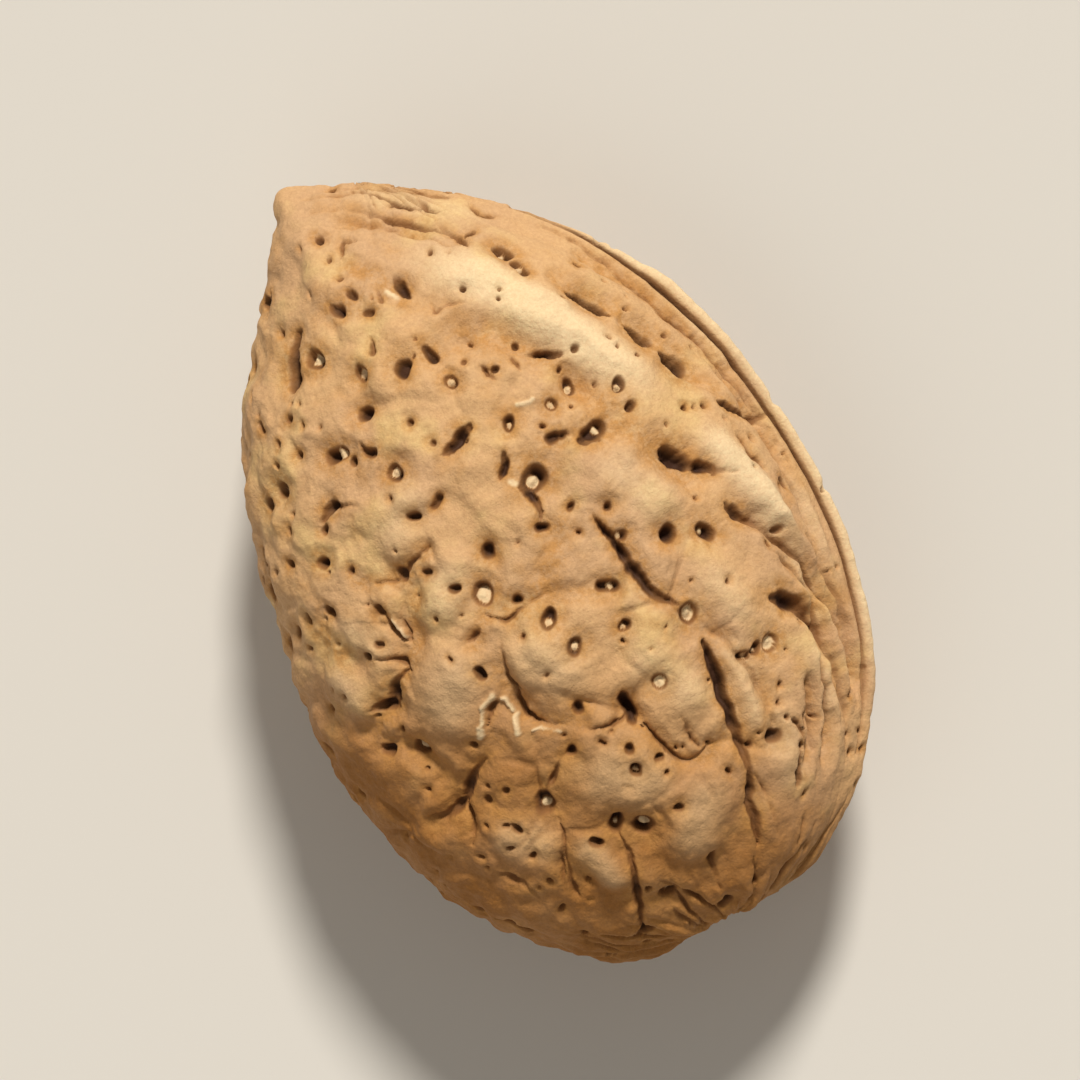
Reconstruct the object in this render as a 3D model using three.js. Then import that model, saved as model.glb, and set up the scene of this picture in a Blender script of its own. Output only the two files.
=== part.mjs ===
// An almond in its shell: a broad, flattened, pointed nut, lying on one of its two cheeks.
// Millimetres, +Z up. +Y runs from the stem end to the tip, and +X towards the keel, the edge where the
// shell's seam stands up as a thin lip. The origin is under the middle of the nut, on the resting surface.
import * as THREE from "three";

const LENGTH = 38; // stem end to tip
const WIDTH = 25; // edge to edge
const THICKNESS = 15.6; // cheek to cheek, as it stands

// The nut's edge seen from above, from the middle of the keel round by the tip, the back and the stem end.
// Each point is given as shares of half the width and half the length.
const OUTLINE = [
  [1.0, -0.1],
  [0.93, 0.21],
  [0.7, 0.545],
  [0.34, 0.8],
  [0.04, 0.92],
  [-0.19, 0.985],
  [-0.26, 0.995],
  [-0.325, 0.925],
  [-0.49, 0.785],
  [-0.79, 0.48],
  [-0.96, 0.06],
  [-0.99, -0.33],
  [-0.8, -0.7],
  [-0.45, -0.94],
  [0.0, -1.0],
  [0.46, -0.93],
  [0.83, -0.67],
  [0.98, -0.37],
];

// Both cheeks are domes. Their fullest point lies nearer the stem end and away from the keel.
const BELLY_SHIFT = { x: -0.6, y: -1.5 };
const KEEL_SHARPNESS = 0.36; // 0 rounds the edge like an ellipse's, 1 makes it a wedge
const TIP_SHARPNESS = 0.6;

// The keel's lip stands out along the seam, between two furrows, and dies away at the stem end.
const LIP = { height: 0.5, halfWidth: 0.5, fadesFrom: 0.9, endsAt: -0.2 };
const FURROW = { depth: 0.25, fromSeam: 1.3, halfWidth: 0.6 };

// The scar where the nut grew on its stem.
const SCAR = { depth: 0.6, halfWidth: 1.8, halfHeight: 1.2 };

// The cheek that the nut lies on has a small flat spot, which is this much of its dome cut away.
const FLAT_DEPTH = 0.3;

const SEGMENTS = 28; // grid squares along each side of the cube that is swollen into the nut

const HALF_LENGTH = LENGTH / 2;
const HALF_WIDTH = WIDTH / 2;
const CHEEK = (THICKNESS + FLAT_DEPTH) / 2; // how far each dome rises from the seam before it is cut flat

const bell = (offset, spread) => Math.exp(-((offset / spread) ** 2));

// A smooth closed curve through the outline's points, asked for by the angle round the middle.
function outlineCurve() {
  const turn = 2 * Math.PI;
  const points = OUTLINE.map(([x, y]) => ({ x, y, angle: (Math.atan2(y, x) + turn) % turn }));
  points.sort((p, q) => p.angle - q.angle);
  const before = points.slice(-2).map((p) => ({ ...p, angle: p.angle - turn }));
  const after = points.slice(0, 2).map((p) => ({ ...p, angle: p.angle + turn }));
  const all = [...before, ...points, ...after];
  const angles = all.map((p) => p.angle);
  const places = all.flatMap((p) => [p.x, p.y]);
  const curve = new THREE.CubicInterpolant(angles, places, 2);
  return (angle) => curve.evaluate((angle + turn) % turn);
}

const edgeAt = outlineCurve();

// A point of the unit sphere, moved onto the nut's skin, with the seam in the plane z = 0.
function skin({ x: a, y: b, z: c }) {
  const r = Math.hypot(a, b);
  const angle = Math.atan2(b, a);
  const keelward = Math.cos(angle);
  const tipward = Math.sin(angle);

  // Seen from above, the middle is an ellipse, which turns into the outline at the edge.
  const [edgeX, edgeY] = edgeAt(angle);
  const middle = 1 - r * r;
  const x = HALF_WIDTH * (a + (edgeX - keelward) * r ** 3) + BELLY_SHIFT.x * middle;
  const y = HALF_LENGTH * (b + (edgeY - tipward) * r ** 3) + BELLY_SHIFT.y * middle;
  const sharpness = KEEL_SHARPNESS * Math.max(0, keelward) ** 2 + TIP_SHARPNESS * Math.max(0, tipward) ** 3;
  const z = CHEEK * Math.sign(c) * Math.abs(c) ** (1 + sharpness * r * r);

  // The lip and its furrows move the skin within the seam's plane. The outline is the top of the lip.
  const p = new THREE.Vector3(x, y, z);
  const outwards = new THREE.Vector3(keelward / HALF_WIDTH, tipward / HALF_LENGTH, 0).normalize();
  const onKeel = THREE.MathUtils.smoothstep(keelward + 0.3 * tipward, LIP.endsAt, LIP.fadesFrom) * r ** 8;
  const lip = LIP.height * (bell(z, LIP.halfWidth) - 1);
  const furrow = FURROW.depth * bell(Math.abs(z) - FURROW.fromSeam, FURROW.halfWidth);
  p.addScaledVector(outwards, onKeel * (lip - furrow));

  // The stem scar dents the stem end.
  const onStemEnd = THREE.MathUtils.smoothstep(-tipward, 0.6, 0.95) * r ** 8;
  p.y += SCAR.depth * onStemEnd * bell(x, SCAR.halfWidth) * bell(z, SCAR.halfHeight);
  return p;
}

function almondGeometry() {
  const geometry = new THREE.BoxGeometry(2, 2, 2, SEGMENTS, SEGMENTS, SEGMENTS);
  const position = geometry.attributes.position;
  const spreadEvenly = (side) => Math.tan((side * Math.PI) / 4);
  const direction = new THREE.Vector3();
  for (let i = 0; i < position.count; i++) {
    direction.fromBufferAttribute(position, i);
    direction.set(spreadEvenly(direction.x), spreadEvenly(direction.y), spreadEvenly(direction.z));
    const p = skin(direction.normalize());
    position.setXYZ(i, p.x, p.y, Math.max(0, p.z + CHEEK - FLAT_DEPTH));
  }
  geometry.deleteAttribute("uv");

  // The grid's corners miss the very ends by a little, so the nut is brought to its exact size.
  geometry.computeBoundingBox();
  const middle = geometry.boundingBox.getCenter(new THREE.Vector3());
  const size = geometry.boundingBox.getSize(new THREE.Vector3());
  geometry.translate(-middle.x, -middle.y, 0);
  geometry.scale(WIDTH / size.x, LENGTH / size.y, THICKNESS / size.z);
  geometry.computeVertexNormals();
  return geometry;
}

const shellMaterial = new THREE.MeshStandardMaterial({ color: 0xd2a573, roughness: 0.78, metalness: 0 });

const almond = new THREE.Mesh(almondGeometry(), shellMaterial);
almond.name = "almond";

const part = new THREE.Group();
part.add(almond);

export default part;
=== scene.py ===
"""The looks of an almond in its shell, laid on a pale floor and seen from nearly above.

The shell is built again round the CAD solid, from the same form, finely enough for its pits, furrows and
plates to be real relief. Shape work is in millimetres; only finished coordinates are turned into metres.
"""
import itertools
import math

import bpy
import numpy as np
from mathutils import Matrix, Vector
from mathutils.kdtree import KDTree


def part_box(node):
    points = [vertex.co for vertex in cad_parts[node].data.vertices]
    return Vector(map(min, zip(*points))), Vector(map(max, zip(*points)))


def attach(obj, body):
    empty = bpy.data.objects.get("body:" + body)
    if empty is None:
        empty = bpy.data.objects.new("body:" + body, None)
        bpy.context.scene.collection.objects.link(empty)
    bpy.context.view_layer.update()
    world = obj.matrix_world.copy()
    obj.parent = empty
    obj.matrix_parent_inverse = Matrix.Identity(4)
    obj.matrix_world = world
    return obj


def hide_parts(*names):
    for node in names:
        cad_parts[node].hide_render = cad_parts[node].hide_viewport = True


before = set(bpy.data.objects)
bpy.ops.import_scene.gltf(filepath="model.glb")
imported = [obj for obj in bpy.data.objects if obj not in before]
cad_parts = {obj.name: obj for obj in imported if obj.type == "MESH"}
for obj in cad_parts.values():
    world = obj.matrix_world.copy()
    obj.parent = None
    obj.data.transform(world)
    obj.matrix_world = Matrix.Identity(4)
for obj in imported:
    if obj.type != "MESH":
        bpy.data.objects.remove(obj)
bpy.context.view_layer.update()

MM = 0.001  # one millimetre, in metres

# --- The form, as in the CAD part -----------------------------------------------------------------------

low_corner, high_corner = (np.array(corner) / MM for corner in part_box("almond"))
WIDTH, LENGTH, THICKNESS = high_corner - low_corner
HALF_WIDTH = WIDTH / 2
HALF_LENGTH = LENGTH / 2

# The edge seen from above, from the keel round by the tip, the back and the stem end, in half sizes.
OUTLINE = [
    (1.0, -0.1),
    (0.93, 0.21),
    (0.7, 0.545),
    (0.34, 0.8),
    (0.04, 0.92),
    (-0.19, 0.985),
    (-0.26, 0.995),
    (-0.325, 0.925),
    (-0.49, 0.785),
    (-0.79, 0.48),
    (-0.96, 0.06),
    (-0.99, -0.33),
    (-0.8, -0.7),
    (-0.45, -0.94),
    (0.0, -1.0),
    (0.46, -0.93),
    (0.83, -0.67),
    (0.98, -0.37),
]
BELLY_SHIFT = (-0.6, -1.5)
KEEL_SHARPNESS = 0.36
TIP_SHARPNESS = 0.6
LIP_HEIGHT, LIP_HALF_WIDTH = 0.5, 0.5
LIP_ENDS_AT, LIP_FADES_FROM = -0.2, 0.9
FURROW_DEPTH, FURROW_FROM_SEAM, FURROW_HALF_WIDTH = 0.25, 1.3, 0.6
SCAR_DEPTH, SCAR_HALF_WIDTH, SCAR_HALF_HEIGHT = 0.6, 1.8, 1.2
FLAT_DEPTH, FLAT_FADE = 0.3, 0.1
CHEEK = (THICKNESS + FLAT_DEPTH) / 2

# Grid squares along X, Y and Z of the box that is swollen into the nut: about 0.075 mm each on the shell.
GRID = (240, 360, 170)

SEED = 38
RANDOM = np.random.default_rng(SEED)

# The camera looks down, a little from the keel's side. Its up points between the tip and the keel, this many
# degrees from the tip.
VIEW_AZIMUTH = 90
VIEW_ELEVATION = 82
UP_FROM_TIP = 27


def toward(azimuth, elevation):
    """The direction from the nut to a camera or light, from degrees. Azimuth 0 is behind the stem end."""
    azimuth, elevation = math.radians(azimuth), math.radians(elevation)
    flat = math.cos(elevation)
    return Vector((math.sin(azimuth) * flat, -math.cos(azimuth) * flat, math.sin(elevation)))


def smoothstep(low, high, value):
    t = np.clip((value - low) / (high - low), 0, 1)
    return t * t * (3 - 2 * t)


def bell(offset, spread):
    return np.exp(-((offset / spread) ** 2))


def outline_at(angle):
    """The outline's x and y, in half sizes, at angles round the middle, on a smooth closed curve."""
    points = np.array(OUTLINE)
    angles = np.arctan2(points[:, 1], points[:, 0]) % (2 * math.pi)
    order = np.argsort(angles)
    angles, points = angles[order], points[order]
    angles = np.concatenate([angles[-2:] - 2 * math.pi, angles, angles[:2] + 2 * math.pi])
    points = np.concatenate([points[-2:], points, points[:2]])
    slopes = (points[2:] - points[:-2]) / (angles[2:] - angles[:-2])[:, None]

    asked = angle % (2 * math.pi)
    i = np.searchsorted(angles, asked, side="right") - 1
    gap = (angles[i + 1] - angles[i])[:, None]
    t = (asked - angles[i])[:, None] / gap
    from_start = (2 * t**3 - 3 * t**2 + 1) * points[i] + (t**3 - 2 * t**2 + t) * gap * slopes[i - 1]
    to_end = (3 * t**2 - 2 * t**3) * points[i + 1] + (t**3 - t**2) * gap * slopes[i]
    return from_start + to_end


def skin(direction):
    """Points of the unit sphere, moved onto the nut's smooth skin, with the seam in the plane z = 0."""
    a, b, c = direction.T
    r = np.hypot(a, b)
    angle = np.arctan2(b, a)
    keelward, tipward = np.cos(angle), np.sin(angle)

    edge = outline_at(angle)
    middle = 1 - r**2
    x = HALF_WIDTH * (a + (edge[:, 0] - keelward) * r**3) + BELLY_SHIFT[0] * middle
    y = HALF_LENGTH * (b + (edge[:, 1] - tipward) * r**3) + BELLY_SHIFT[1] * middle
    sharpness = KEEL_SHARPNESS * np.maximum(0, keelward) ** 2 + TIP_SHARPNESS * np.maximum(0, tipward) ** 3
    z = CHEEK * np.sign(c) * np.abs(c) ** (1 + sharpness * r**2)

    outwards = np.stack([keelward / HALF_WIDTH, tipward / HALF_LENGTH], axis=1)
    outwards /= np.linalg.norm(outwards, axis=1)[:, None]
    on_keel = smoothstep(LIP_ENDS_AT, LIP_FADES_FROM, keelward + 0.3 * tipward) * r**8
    lip = LIP_HEIGHT * (bell(z, LIP_HALF_WIDTH) - 1)
    furrow = FURROW_DEPTH * bell(np.abs(z) - FURROW_FROM_SEAM, FURROW_HALF_WIDTH)
    push = on_keel * (lip - furrow)

    on_stem_end = smoothstep(0.6, 0.95, -tipward) * r**8
    scar = SCAR_DEPTH * on_stem_end * bell(x, SCAR_HALF_WIDTH) * bell(z, SCAR_HALF_HEIGHT)
    return np.stack([x + push * outwards[:, 0], y + push * outwards[:, 1] + scar, z], axis=1)


def rested(height):
    """Lifts what would lie under the resting surface onto it, with a soft edge round the flat spot."""
    soft = (height + FLAT_FADE) ** 2 / (4 * FLAT_FADE)
    return np.where(height <= -FLAT_FADE, 0, np.where(height >= FLAT_FADE, height, soft))


def swollen_box():
    """The directions of a box grid's corners from its middle, and its squares, facing out."""
    span = np.array(GRID)
    seen = {}
    corners = []
    squares = []
    for axis, side in itertools.product(range(3), (0, 1)):
        u, v = [k for k in range(3) if k != axis]
        grid_u, grid_v = np.meshgrid(np.arange(span[u] + 1), np.arange(span[v] + 1), indexing="ij")
        sheet = np.zeros((*grid_u.shape, 3), int)
        sheet[..., u] = grid_u
        sheet[..., v] = grid_v
        sheet[..., axis] = side * span[axis]
        start = sum(len(part) for part in corners)
        corners.append(sheet.reshape(-1, 3))
        index = start + np.arange(grid_u.size).reshape(grid_u.shape)
        ring = [index[:-1, :-1], index[1:, :-1], index[1:, 1:], index[:-1, 1:]]
        if (side == 0) != (axis == 1):
            ring.reverse()
        squares.append(np.stack(ring, axis=-1).reshape(-1, 4))

    lattice, welded = np.unique(np.concatenate(corners), axis=0, return_inverse=True)
    squares = welded.reshape(-1)[np.concatenate(squares)]
    evened = np.tan((lattice / span * 2 - 1) * math.pi / 4)
    return evened / np.linalg.norm(evened, axis=1)[:, None], squares


def normals_of(points, squares):
    """Each point's outward direction, from the squares round it."""
    across = points[squares[:, 2]] - points[squares[:, 0]]
    along = points[squares[:, 3]] - points[squares[:, 1]]
    faces = np.cross(across, along)
    total = np.zeros_like(points)
    for corner, k in itertools.product(range(4), range(3)):
        total[:, k] += np.bincount(squares[:, corner], faces[:, k], len(points))
    return total / np.linalg.norm(total, axis=1)[:, None]


# --- Noise ----------------------------------------------------------------------------------------------

SHUFFLED = RANDOM.permutation(256)
SLOPES = RANDOM.normal(size=(256, 3))
SLOPES /= np.linalg.norm(SLOPES, axis=1)[:, None]
JITTER = RANDOM.random((256, 3))


def scrambled(cell):
    """A number from 0 to 255 for each cell of a lattice."""
    return SHUFFLED[(SHUFFLED[(SHUFFLED[cell[:, 0] & 255] + cell[:, 1]) & 255] + cell[:, 2]) & 255]


def noise(points):
    """Smooth noise from about -0.7 to 0.7, with lumps about one unit across."""
    cell = np.floor(points).astype(int)
    inside = points - cell
    fade = inside**3 * (inside * (inside * 6 - 15) + 10)
    total = np.zeros(len(points))
    for corner in itertools.product((0, 1), repeat=3):
        slope = SLOPES[scrambled(cell + corner)]
        weight = np.prod(np.where(corner, fade, 1 - fade), axis=1)
        total += weight * np.sum((inside - corner) * slope, axis=1)
    return total


def layered(points, wavelength, layers=3):
    """Noise with finer, weaker copies of itself added."""
    return sum(noise(points / wavelength * 2**k + 17 * k) / 2**k for k in range(layers))


def wavering(points, size, amount, shifts):
    """A small move for each point, with its own noise in each direction."""
    return amount * np.stack([noise(points / size + shift) for shift in shifts], axis=1)


def plate_gaps(points):
    """How far each point is from the border between the two nearest of randomly placed plates."""
    cell = np.floor(points).astype(int)
    nearest = np.full(len(points), np.inf)
    second = np.full(len(points), np.inf)
    for offset in itertools.product((-1, 0, 1), repeat=3):
        neighbour = cell + offset
        distance = np.linalg.norm(points - neighbour - JITTER[scrambled(neighbour)], axis=1)
        second = np.minimum(second, np.maximum(nearest, distance))
        nearest = np.minimum(nearest, distance)
    return second - nearest


# --- The shell's marks ----------------------------------------------------------------------------------
# Places are on the upper cheek: the x and y, in millimetres from the middle of the nut, at which the
# camera's line of sight to the mark crosses the plane of the seam.

# Plain round pits: place and radius.
PITS = [
    (-3.3, 13.1, 0.38), (-2.35, 13.3, 0.22), (-2.05, 12.35, 0.25), (-7.3, 9.6, 0.25), (-7.65, 8.1, 0.22),
    (-4.3, 8.45, 0.38), (-1.85, 9.4, 0.4), (-0.45, 9.55, 0.3), (-2.6, 16.2, 0.24), (-5.75, 6.75, 0.22),
    (-9.5, 5.3, 0.2), (-8.9, 3.4, 0.32), (-7.9, 2.6, 0.2), (-4.3, 3.45, 0.28), (-9.55, 1.3, 0.25),
    (-10.6, 1.5, 0.22), (-6.0, 1.4, 0.32), (-2.1, 0.55, 0.34), (-4.1, -0.2, 0.22), (-8.9, -1.2, 0.24),
    (-2.0, -1.8, 0.3), (-4.8, -3.95, 0.27), (-1.7, -7.25, 0.32), (-2.9, -8.8, 0.28), (-6.2, -9.05, 0.22),
    (-7.2, -9.15, 0.2), (-0.45, -9.8, 0.24), (0.5, -10.8, 0.24), (0.35, -13.05, 0.24), (-3.6, -12.9, 0.26),
    (5.3, -2.25, 0.42), (5.5, -12.25, 0.36), (7.25, 10.05, 0.22), (2.65, 3.75, 0.3), (0.5, 0.45, 0.28),
    (2.0, 0.65, 0.2), (-3.45, -17.6, 0.32), (0.3, -18.0, 0.28), (6.4, 3.4, 0.2), (-7.6, 0.45, 0.24),
    (-8.6, 9.9, 0.2), (-10.2, 4.0, 0.22), (11.1, -2.6, 0.26), (-10.1, -5.2, 0.32), (3.2, 8.3, 0.22),
]

# Pits with a pale bead of shell left in them: place and radius.
BEADED_PITS = [
    (-5.2, 11.6, 0.5), (-6.3, 7.4, 0.42), (-4.2, 5.5, 0.42), (-0.25, 7.95, 0.32), (1.25, 5.2, 0.36),
    (4.5, 5.6, 0.34), (3.4, 5.1, 0.3), (6.25, 4.5, 0.34), (4.55, 12.1, 0.36), (4.85, 11.05, 0.3),
    (1.15, 2.5, 0.62), (4.6, -5.7, 0.52), (-1.05, -3.2, 0.36), (1.85, -3.1, 0.36), (1.8, -4.95, 0.3),
    (6.9, -2.95, 0.42), (2.05, -7.8, 0.44), (-3.25, -0.95, 0.52), (-4.95, -10.4, 0.52), (-0.55, -10.75, 0.3),
    (-2.5, -12.6, 0.42), (-1.45, -13.2, 0.52), (7.3, -8.6, 0.46), (6.6, -8.5, 0.3), (5.95, -8.5, 0.24),
    (-1.8, -16.5, 0.4), (-8.9, -5.85, 0.42), (-3.6, 10.1, 0.38), (4.5, 3.2, 0.5), (-9.2, 7.1, 0.5),
    (3.4, -1.4, 0.3), (-0.6, -4.8, 0.42),
]

# Slots and furrows: half widths and depths at their two ends, then the places that they run through.
FURROWS = [
    # slots among the pits
    (0.5, 0.4, 0.8, 0.7, [(-6.8, 10.8), (-6.1, 12.0), (-5.3, 13.1)]),
    (0.25, 0.36, 0.45, 0.6, [(-1.9, 5.2), (-1.2, 5.4), (-0.45, 5.85)]),
    (0.26, 0.24, 0.5, 0.5, [(-0.4, 13.2), (-0.1, 12.1)]),
    (0.13, 0.18, 0.25, 0.35, [(-1.2, 12.9), (-1.35, 12.3)]),
    (0.14, 0.18, 0.3, 0.3, [(-2.5, 11.2), (-2.8, 10.5)]),
    (0.2, 0.34, 0.35, 0.45, [(-5.05, 7.3), (-4.95, 6.8), (-4.6, 6.6)]),
    (0.34, 0.14, 0.5, 0.15, [(-8.1, 5.05), (-7.5, 5.4), (-6.9, 5.3), (-6.3, 4.95)]),
    (0.2, 0.28, 0.45, 0.5, [(-0.25, 3.1), (0.1, 3.5), (0.5, 4.1)]),
    (0.3, 0.14, 0.55, 0.3, [(0.45, 2.5), (0.65, 1.9), (0.75, 1.2), (0.5, 0.5)]),
    (0.12, 0.24, 0.15, 0.5, [(3.2, 7.6), (3.9, 7.4), (4.7, 6.9)]),
    (0.14, 0.12, 0.3, 0.25, [(1.3, 7.9), (1.6, 7.1)]),
    (0.14, 0.12, 0.3, 0.25, [(2.55, 7.9), (2.75, 7.0)]),
    (0.12, 0.1, 0.22, 0.15, [(0.5, 11.4), (0.6, 11.0), (1.2, 11.05), (1.9, 10.75)]),
    (0.14, 0.12, 0.25, 0.2, [(-2.0, 15.0), (-1.7, 15.6), (-1.0, 15.2)]),
    (0.2, 0.24, 0.5, 0.45, [(4.7, 3.6), (4.1, 3.15), (3.8, 3.0), (4.4, 2.75)]),
    (0.25, 0.16, 0.5, 0.1, [(2.7, 3.7), (3.3, 3.6), (3.9, 3.1)]),
    (0.16, 0.12, 0.3, 0.2, [(-5.9, 14.5), (-5.4, 15.2)]),
    # between the tip and the upper end of the ridge
    (0.22, 0.22, 0.2, 0.45, [(2.4, 14.6), (3.0, 13.6), (3.1, 12.95)]),
    (0.14, 0.2, 0.35, 0.4, [(3.9, 13.5), (3.3, 13.4)]),
    (0.14, 0.12, 0.3, 0.25, [(4.15, 14.6), (4.4, 13.9), (5.1, 13.45)]),
    (0.16, 0.12, 0.3, 0.2, [(2.1, 15.8), (2.4, 15.1), (3.0, 14.7)]),
    (0.14, 0.2, 0.15, 0.32, [(-2.4, 18.0), (0.1, 17.0), (1.3, 15.9), (2.4, 15.2)]),
    (0.14, 0.22, 0.12, 0.32, [(-2.3, 17.3), (-0.2, 16.3), (1.4, 15.1), (2.6, 14.1)]),
    (0.14, 0.14, 0.1, 0.16, [(-2.2, 16.6), (-0.2, 15.6), (1.6, 14.2), (2.8, 13.0)]),
    (0.12, 0.14, 0.12, 0.2, [(-1.6, 18.1), (0.8, 17.0), (2.6, 15.9), (4.4, 14.8)]),
    # the row of slots between the ridge and the keel
    (0.42, 0.5, 0.8, 0.9, [(6.4, 9.2), (7.0, 8.5), (7.5, 7.6)]),
    (0.46, 0.66, 0.9, 1.1, [(8.1, 6.7), (8.4, 6.2), (8.55, 5.7)]),
    (0.5, 0.72, 0.9, 1.2, [(9.0, 4.9), (9.3, 4.4), (9.5, 4.1)]),
    (0.3, 0.2, 0.6, 0.35, [(10.1, 1.8), (10.6, 1.4), (11.2, 0.6), (12.0, 0.4)]),
    (0.12, 0.2, 0.2, 0.35, [(10.1, 1.6), (10.2, 0.2), (10.2, -0.6), (10.5, -1.6)]),
    # wedges opening towards the tip
    (0.6, 0.34, 0.9, 0.6, [(6.9, 1.1), (7.3, 0.5), (7.8, -0.1)]),
    (0.4, 0.14, 0.6, 0.2, [(7.7, 0.0), (8.3, -0.5), (9.2, -1.2)]),
    (0.4, 0.24, 0.45, 0.25, [(8.2, -2.3), (8.8, -3.1), (9.7, -4.4)]),
    (0.5, 0.26, 0.6, 0.25, [(8.2, -6.9), (8.8, -7.2), (9.5, -8.0), (9.9, -9.6)]),
    # the long curved furrow, which ends in a beaded pit, and the one that follows it to the stem end
    (0.2, 0.34, 0.45, 0.5, [(2.7, 0.0), (2.9, -0.9), (3.15, -2.0), (3.2, -3.0)]),
    (0.34, 0.26, 0.5, 0.45, [(3.15, -2.0), (3.25, -3.2), (3.6, -4.3), (4.3, -5.2)]),
    (0.36, 0.26, 0.65, 0.4, [(4.6, -7.2), (4.5, -8.4), (4.2, -10.2), (4.0, -12.3), (3.8, -13.4)]),
    (0.24, 0.26, 0.4, 0.4, [(3.9, -12.9), (3.5, -14.0), (3.1, -15.2), (2.9, -16.2)]),
    (0.16, 0.12, 0.15, 0.1, [(3.9, -13.3), (4.1, -14.6), (3.7, -16.2)]),
    (0.3, 0.34, 0.6, 0.7, [(0.35, -7.6), (0.3, -8.2), (0.25, -9.0)]),
    (0.12, 0.16, 0.15, 0.25, [(2.2, -9.7), (2.25, -10.6), (2.4, -11.3)]),
    # borders of the plates
    (0.14, 0.2, 0.3, 0.35, [(-5.6, -6.2), (-5.15, -5.65), (-4.75, -5.55)]),
    (0.16, 0.12, 0.3, 0.15, [(-3.6, -1.9), (-2.7, -2.5), (-1.2, -2.2), (0.2, -2.6)]),
    (0.14, 0.18, 0.2, 0.3, [(-7.2, 1.6), (-6.4, 1.2), (-5.4, 1.6), (-4.4, 2.0)]),
    (0.12, 0.16, 0.2, 0.3, [(-8.7, -1.4), (-8.0, -1.8), (-7.6, -2.5)]),
    (0.18, 0.14, 0.35, 0.2, [(0.6, -9.2), (1.0, -10.6), (1.6, -11.6), (3.0, -11.4)]),
    (0.12, 0.16, 0.2, 0.3, [(-1.9, -8.2), (-0.8, -8.6), (0.2, -8.5)]),
    (0.14, 0.12, 0.3, 0.2, [(-3.6, -5.9), (-3.8, -4.6), (-3.4, -3.2)]),
    (0.2, 0.12, 0.45, 0.2, [(-3.9, -5.4), (-3.85, -6.5), (-3.4, -7.2), (-2.5, -7.7)]),
    (0.16, 0.36, 0.3, 0.55, [(-7.7, -2.4), (-8.4, -2.6), (-8.8, -3.2), (-9.1, -3.6)]),
    (0.34, 0.26, 0.5, 0.45, [(-9.0, -3.7), (-9.4, -3.4), (-9.9, -3.35)]),
    (0.2, 0.34, 0.25, 0.45, [(-6.4, -7.5), (-7.1, -7.8), (-7.8, -8.3), (-8.3, -8.9)]),
    (0.3, 0.24, 0.45, 0.3, [(-8.3, -8.8), (-8.9, -9.0), (-9.8, -8.7)]),
    (0.24, 0.16, 0.4, 0.2, [(-8.3, -8.8), (-8.2, -9.6), (-8.6, -10.6)]),
    (0.1, 0.2, 0.1, 0.35, [(-2.9, -8.8), (-3.9, -9.4), (-4.7, -10.1)]),
    (0.1, 0.12, 0.2, 0.15, [(-4.8, -10.8), (-4.8, -12.0), (-5.2, -13.2), (-5.6, -14.4)]),
    (0.12, 0.1, 0.25, 0.2, [(-7.6, 0.3), (-7.5, -0.7), (-7.25, -1.5)]),
    (0.1, 0.12, 0.15, 0.25, [(-7.15, 0.0), (-6.95, -0.8), (-7.2, -1.5)]),
    (0.2, 0.16, 0.3, 0.25, [(-4.0, -2.35), (-4.7, -2.6)]),
    # furrows running down to the stem end
    (0.18, 0.12, 0.25, 0.15, [(-5.15, -12.6), (-5.6, -13.5), (-5.8, -14.4)]),
    (0.16, 0.2, 0.2, 0.3, [(-5.1, -13.0), (-5.4, -13.9), (-5.4, -14.8)]),
    (0.18, 0.26, 0.25, 0.4, [(-2.55, -13.0), (-2.6, -14.4), (-3.1, -15.8), (-3.5, -17.4)]),
    (0.3, 0.14, 0.3, 0.1, [(-8.0, -12.4), (-7.3, -13.0), (-6.9, -14.0)]),
    (0.24, 0.14, 0.35, 0.15, [(0.9, -15.5), (0.55, -16.2), (0.3, -17.4)]),
    (0.14, 0.3, 0.15, 0.35, [(6.6, -13.0), (6.0, -13.8), (5.4, -14.7)]),
    (0.16, 0.14, 0.3, 0.25, [(6.5, -11.8), (6.65, -12.4), (6.7, -13.1)]),
    (0.14, 0.14, 0.25, 0.25, [(7.4, -11.8), (6.8, -12.7)]),
    (0.14, 0.12, 0.15, 0.1, [(7.7, -10.9), (7.6, -11.8), (7.0, -13.6), (6.2, -15.2)]),
    (0.16, 0.14, 0.15, 0.1, [(8.8, -10.2), (8.3, -11.8), (7.4, -14.0)]),
    (0.2, 0.14, 0.2, 0.12, [(10.9, -5.0), (11.0, -7.4), (10.7, -9.8), (9.8, -12.4)]),
    (0.16, 0.14, 0.12, 0.12, [(9.7, -8.6), (9.8, -10.4), (9.1, -12.6), (7.9, -14.8)]),
    (0.14, 0.12, 0.12, 0.1, [(2.4, -16.6), (1.7, -17.9)]),
    (0.14, 0.12, 0.12, 0.1, [(5.2, -16.0), (4.2, -17.3)]),
]

# Curled flakes that stand up beside the plates' borders, painted lightest, partly as the shell's own colour
# and partly as painted highlight: half width, height, places.
FLAKES = [
    (0.26, 0.16, [(-5.3, -5.35), (-4.75, -5.2)]),
    (0.15, 0.13, [(-5.4, -5.4), (-5.75, -6.0)]),
    (0.2, 0.12, [(-5.85, -6.15), (-6.1, -6.5)]),
    (0.15, 0.14, [(-4.5, -5.5), (-4.35, -6.1)]),
    (0.2, 0.15, [(-4.3, -6.3), (-4.5, -7.1)]),
    (0.13, 0.12, [(-4.0, -7.35), (-3.4, -7.45), (-2.9, -7.85)]),
    (0.14, 0.1, [(-7.35, -0.2), (-7.2, -1.2)]),
    (0.2, 0.14, [(-0.9, 12.7), (-0.6, 12.4)]),
    (0.2, 0.14, [(0.2, 2.9), (0.4, 2.7)]),
    (0.16, 0.12, [(1.9, 5.7), (2.7, 5.6)]),
]
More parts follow.
